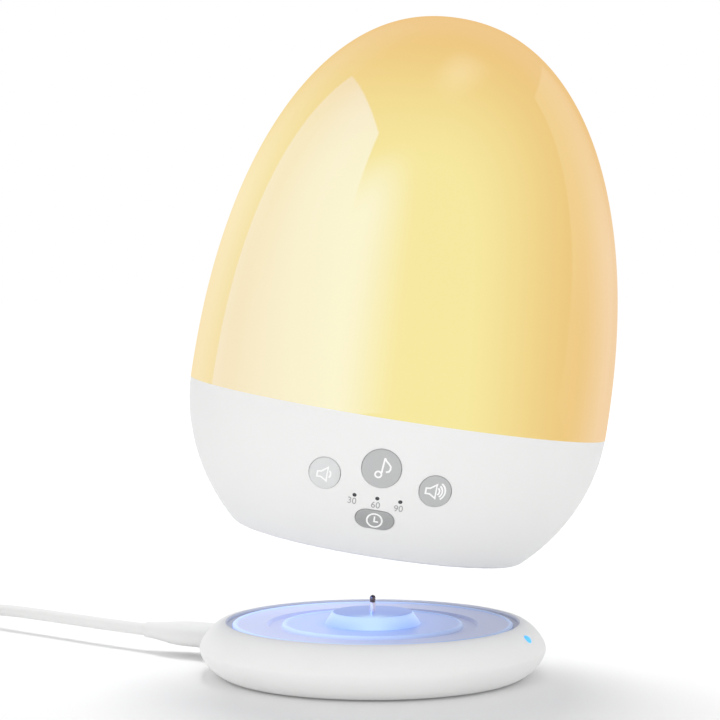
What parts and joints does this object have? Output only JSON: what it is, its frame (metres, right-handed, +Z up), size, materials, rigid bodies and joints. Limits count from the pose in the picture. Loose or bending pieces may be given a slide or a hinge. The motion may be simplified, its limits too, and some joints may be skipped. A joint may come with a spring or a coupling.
{
  "type": "white noise sound machine",
  "caption": "Egg-shaped night light and white noise speaker with push buttons, lifted off its round charging dock with a lead.",
  "frame": {"origin": "centre of the underside of the charging dock, on the surface it stands on", "axes": "+Z up; the button panel of the sound unit faces -Y; the unit leans towards +X when lifted; the lead leaves the dock towards -X and +Y"},
  "size_m": [0.2535, 0.1665, 0.1824],
  "materials": {
    "dome_plastic": "glossy translucent polypropylene, lit warm from inside",
    "shell_white": "satin moulded ABS",
    "button_silver": "satin silver-grey paint on moulded plastic",
    "inner_plastic": "moulded ABS, no finish",
    "pipe_smoke": "smoked clear plastic, polished ends",
    "board_green": "solder mask",
    "board_white": "white mask on an aluminium core",
    "chip_black": "moulded package",
    "led_cream": "phosphor cap in a white package",
    "screw_steel": "zinc plated",
    "battery_wrap": "plain shrink wrap",
    "speaker_steel": "black pressed steel",
    "magnet_steel": "zinc plated cup",
    "speaker_paper": "pressed paper",
    "foam_black": "closed-cell foam",
    "rubber_grey": "matt silicone",
    "wire_red": "insulated pair",
    "dock_white": "satin moulded ABS",
    "plate_blue": "translucent plate lit blue from below",
    "contact_metal": "polished plating",
    "contact_dark": "moulded insulator",
    "status_cyan": "clear light pipe over a cyan LED",
    "lead_white": "satin lead sheath and grips",
    "tie_grey": "hook and loop strap",
    "plug_metal": "nickel plated shell"
  },
  "bodies": {
    "charging_dock": {"dock_cover": "dock_white", "dock_base": "dock_white", "base_pad": "rubber_grey", "dock_screws": "screw_steel", "light_plate": "plate_blue", "contact_boss": "plate_blue", "contact_sleeve": "contact_metal", "contact_insulator": "contact_dark", "contact_tip": "contact_metal", "dock_board": "board_green", "dock_board_screws": "screw_steel", "dock_leds": "led_cream", "usb_socket": "plug_metal", "ballast_plate": "screw_steel", "status_light_pipe": "status_cyan", "plug_shell": "plug_metal", "plug_overmould": "lead_white", "lead": "lead_white", "lead_tail": "lead_white", "lead_coil": "lead_white", "lead_tie": "tie_grey", "far_plug_grip": "lead_white", "far_plug_shell": "plug_metal"},
    "sound_unit": {"diffuser_dome": "dome_plastic", "lower_housing": "shell_white", "bottom_cover": "shell_white", "foot_ring": "rubber_grey", "cover_screws": "screw_steel", "button_board": "board_green", "button_board_screws": "screw_steel", "tact_switches": "chip_black", "timer_leds": "led_cream", "timer_light_pipes": "pipe_smoke", "speaker_frame": "speaker_steel", "speaker_magnet": "magnet_steel", "speaker_cone": "speaker_paper", "speaker_gasket": "foam_black", "speaker_retainer": "inner_plastic", "speaker_leads": "wire_red", "main_board": "board_green", "main_board_screws": "screw_steel", "sound_chips": "chip_black", "charging_jack": "chip_black", "battery": "battery_wrap", "battery_cradle": "inner_plastic", "cradle_screws": "screw_steel", "reflector_plate": "inner_plastic", "lamp_board": "board_white", "lamp_board_screws": "screw_steel", "lamp_leds": "led_cream", "lamp_harness": "wire_red"},
    "volume_down_button": {"volume_down_button": "button_silver"},
    "tune_button": {"tune_button": "button_silver"},
    "volume_up_button": {"volume_up_button": "button_silver"},
    "timer_button": {"timer_button": "button_silver"}
  },
  "joints": [
    {"name": "unit_lift", "type": "hinge", "parent": "charging_dock", "child": "sound_unit", "pos_m": [0.1476, 0, 0.01828], "axis": [0, 1, 0], "range_deg": [-8.83, 8]},
    {"name": "volume_down_button_press", "type": "slide", "parent": "sound_unit", "child": "volume_down_button", "axis": [0.112, 0.9122, 0.3942], "range_m": [0, 0.0005], "stiffness_N_per_m": 600},
    {"name": "tune_button_press", "type": "slide", "parent": "sound_unit", "child": "tune_button", "axis": [0.112, 0.9122, 0.3942], "range_m": [0, 0.0005], "stiffness_N_per_m": 600},
    {"name": "volume_up_button_press", "type": "slide", "parent": "sound_unit", "child": "volume_up_button", "axis": [0.112, 0.9122, 0.3942], "range_m": [0, 0.0005], "stiffness_N_per_m": 600},
    {"name": "timer_button_press", "type": "slide", "parent": "sound_unit", "child": "timer_button", "axis": [0.112, 0.9122, 0.3942], "range_m": [0, 0.0005], "stiffness_N_per_m": 600}
  ]
}
